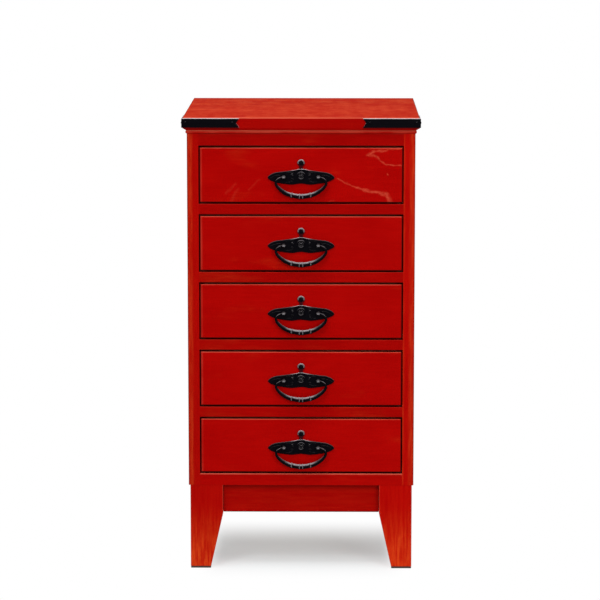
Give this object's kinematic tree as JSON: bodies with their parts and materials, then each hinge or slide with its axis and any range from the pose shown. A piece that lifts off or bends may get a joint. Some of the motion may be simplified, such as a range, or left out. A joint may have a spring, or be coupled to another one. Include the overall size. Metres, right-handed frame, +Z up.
{
  "type": "drawer chest",
  "caption": "Upright red lacquered chest of stacked drawers in the East Asian style, on tapered legs, with black iron corner straps and swinging bail handles.",
  "frame": {"origin": "on the floor, at the middle of the footprint with the handles", "axes": "+Z up, -Y out of the drawer fronts, +X to the right seen from the front"},
  "size_m": [0.4548, 0.4545, 0.8773],
  "materials": {
    "red_lacquer": "satin red lacquer over wood grain",
    "black_iron": "black lacquered iron",
    "drawer_wood": "bare pale wood"
  },
  "bodies": {
    "case": {"top_board": "red_lacquer", "left_side_panel": "red_lacquer", "right_side_panel": "red_lacquer", "back_panel": "drawer_wood", "bottom_board": "red_lacquer", "top_rail": "red_lacquer", "kicker_board": "drawer_wood", "divider_rail_1": "red_lacquer", "divider_rail_2": "red_lacquer", "divider_rail_3": "red_lacquer", "divider_rail_4": "red_lacquer", "dust_board_1": "drawer_wood", "dust_board_2": "drawer_wood", "dust_board_3": "drawer_wood", "dust_board_4": "drawer_wood", "left_corner_strap": "black_iron", "right_corner_strap": "black_iron", "front_left_leg": "red_lacquer", "front_right_leg": "red_lacquer", "rear_left_leg": "red_lacquer", "rear_right_leg": "red_lacquer", "front_apron": "red_lacquer", "rear_apron": "red_lacquer", "left_apron": "red_lacquer", "right_apron": "red_lacquer"},
    "drawer_1": {"drawer_1_front": "red_lacquer", "drawer_1_left_side": "drawer_wood", "drawer_1_right_side": "drawer_wood", "drawer_1_back": "drawer_wood", "drawer_1_bottom": "drawer_wood", "drawer_1_handle_plate": "black_iron"},
    "drawer_2": {"drawer_2_front": "red_lacquer", "drawer_2_left_side": "drawer_wood", "drawer_2_right_side": "drawer_wood", "drawer_2_back": "drawer_wood", "drawer_2_bottom": "drawer_wood", "drawer_2_handle_plate": "black_iron"},
    "drawer_3": {"drawer_3_front": "red_lacquer", "drawer_3_left_side": "drawer_wood", "drawer_3_right_side": "drawer_wood", "drawer_3_back": "drawer_wood", "drawer_3_bottom": "drawer_wood", "drawer_3_handle_plate": "black_iron"},
    "drawer_4": {"drawer_4_front": "red_lacquer", "drawer_4_left_side": "drawer_wood", "drawer_4_right_side": "drawer_wood", "drawer_4_back": "drawer_wood", "drawer_4_bottom": "drawer_wood", "drawer_4_handle_plate": "black_iron"},
    "drawer_5": {"drawer_5_front": "red_lacquer", "drawer_5_left_side": "drawer_wood", "drawer_5_right_side": "drawer_wood", "drawer_5_back": "drawer_wood", "drawer_5_bottom": "drawer_wood", "drawer_5_handle_plate": "black_iron"},
    "bail_1": {"drawer_1_bail": "black_iron"},
    "bail_2": {"drawer_2_bail": "black_iron"},
    "bail_3": {"drawer_3_bail": "black_iron"},
    "bail_4": {"drawer_4_bail": "black_iron"},
    "bail_5": {"drawer_5_bail": "black_iron"}
  },
  "joints": [
    {"name": "drawer_1_slide", "type": "slide", "parent": "case", "child": "drawer_1", "axis": [0, -1, 0], "range_m": [0, 0.3]},
    {"name": "drawer_2_slide", "type": "slide", "parent": "case", "child": "drawer_2", "axis": [0, -1, 0], "range_m": [0, 0.3]},
    {"name": "drawer_3_slide", "type": "slide", "parent": "case", "child": "drawer_3", "axis": [0, -1, 0], "range_m": [0, 0.3]},
    {"name": "drawer_4_slide", "type": "slide", "parent": "case", "child": "drawer_4", "axis": [0, -1, 0], "range_m": [0, 0.3]},
    {"name": "drawer_5_slide", "type": "slide", "parent": "case", "child": "drawer_5", "axis": [0, -1, 0], "range_m": [0, 0.3]},
    {"name": "bail_1_hinge", "type": "hinge", "parent": "drawer_1", "child": "bail_1", "pos_m": [0, -0.2233, 0.7635], "axis": [-1, 0, 0], "range_deg": [-4, 110]},
    {"name": "bail_2_hinge", "type": "hinge", "parent": "drawer_2", "child": "bail_2", "pos_m": [0, -0.2233, 0.6325], "axis": [-1, 0, 0], "range_deg": [-4, 110]},
    {"name": "bail_3_hinge", "type": "hinge", "parent": "drawer_3", "child": "bail_3", "pos_m": [0, -0.2233, 0.5015], "axis": [-1, 0, 0], "range_deg": [-4, 110]},
    {"name": "bail_4_hinge", "type": "hinge", "parent": "drawer_4", "child": "bail_4", "pos_m": [0, -0.2233, 0.3705], "axis": [-1, 0, 0], "range_deg": [-4, 110]},
    {"name": "bail_5_hinge", "type": "hinge", "parent": "drawer_5", "child": "bail_5", "pos_m": [0, -0.2233, 0.2395], "axis": [-1, 0, 0], "range_deg": [-4, 110]}
  ]
}
